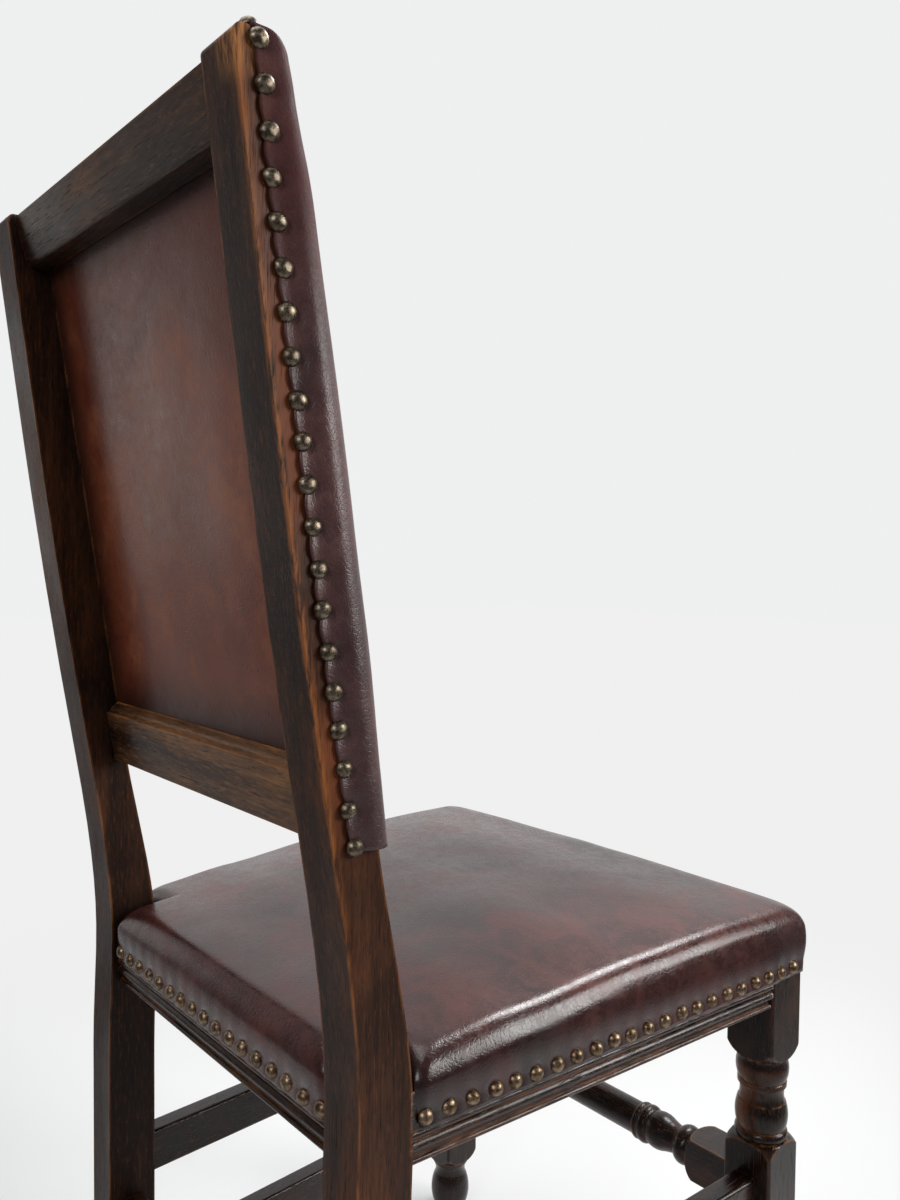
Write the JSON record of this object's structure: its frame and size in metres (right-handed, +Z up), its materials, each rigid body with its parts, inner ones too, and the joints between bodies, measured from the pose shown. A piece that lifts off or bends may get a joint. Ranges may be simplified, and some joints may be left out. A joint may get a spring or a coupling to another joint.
{
  "type": "upholstered side chair",
  "caption": "Dark oak side chair with a raked leather back, nailed leather seat, reeded seat rails, turned front legs and a high turned front stretcher.",
  "frame": {"origin": "centre of the bounding box's base, on the floor between the legs", "axes": "+Z is up, the sitter faces -Y, and +X is the sitter's left; the YZ plane is the chair's plane of symmetry"},
  "size_m": [0.4594, 0.5283, 1.0312],
  "materials": {
    "dark_wood": "satin",
    "glue_block_wood": "matte",
    "leather": "gloss",
    "panel_leather": "satin",
    "brass_nails": "satin",
    "webbing": "matte",
    "hessian": "matte",
    "stuffing": "matte"
  },
  "bodies": {
    "root": {"back_hessian": "hessian", "back_leather_front": "leather", "back_leather_rear": "panel_leather", "back_padding": "stuffing", "back_studs_bottom": "brass_nails", "back_studs_left": "brass_nails", "back_studs_right": "brass_nails", "back_studs_top": "brass_nails", "back_webbing": "webbing", "crest_rail": "dark_wood", "front_glue_block_left": "glue_block_wood", "front_glue_block_right": "glue_block_wood", "front_leg_left": "dark_wood", "front_leg_right": "dark_wood", "front_seat_rail": "dark_wood", "front_stretcher": "dark_wood", "lower_back_rail": "dark_wood", "lower_side_stretcher_left": "dark_wood", "lower_side_stretcher_right": "dark_wood", "rear_glue_block_left": "glue_block_wood", "rear_glue_block_right": "glue_block_wood", "rear_leg_left": "dark_wood", "rear_leg_right": "dark_wood", "rear_seat_rail": "dark_wood", "rear_stretcher": "dark_wood", "seat_hessian": "hessian", "seat_leather": "leather", "seat_padding": "stuffing", "seat_studs_front": "brass_nails", "seat_studs_left": "brass_nails", "seat_studs_rear": "brass_nails", "seat_studs_right": "brass_nails", "seat_webbing": "webbing", "side_seat_rail_left": "dark_wood", "side_seat_rail_right": "dark_wood", "upper_side_stretcher_left": "dark_wood", "upper_side_stretcher_right": "dark_wood"}
  },
  "joints": []
}
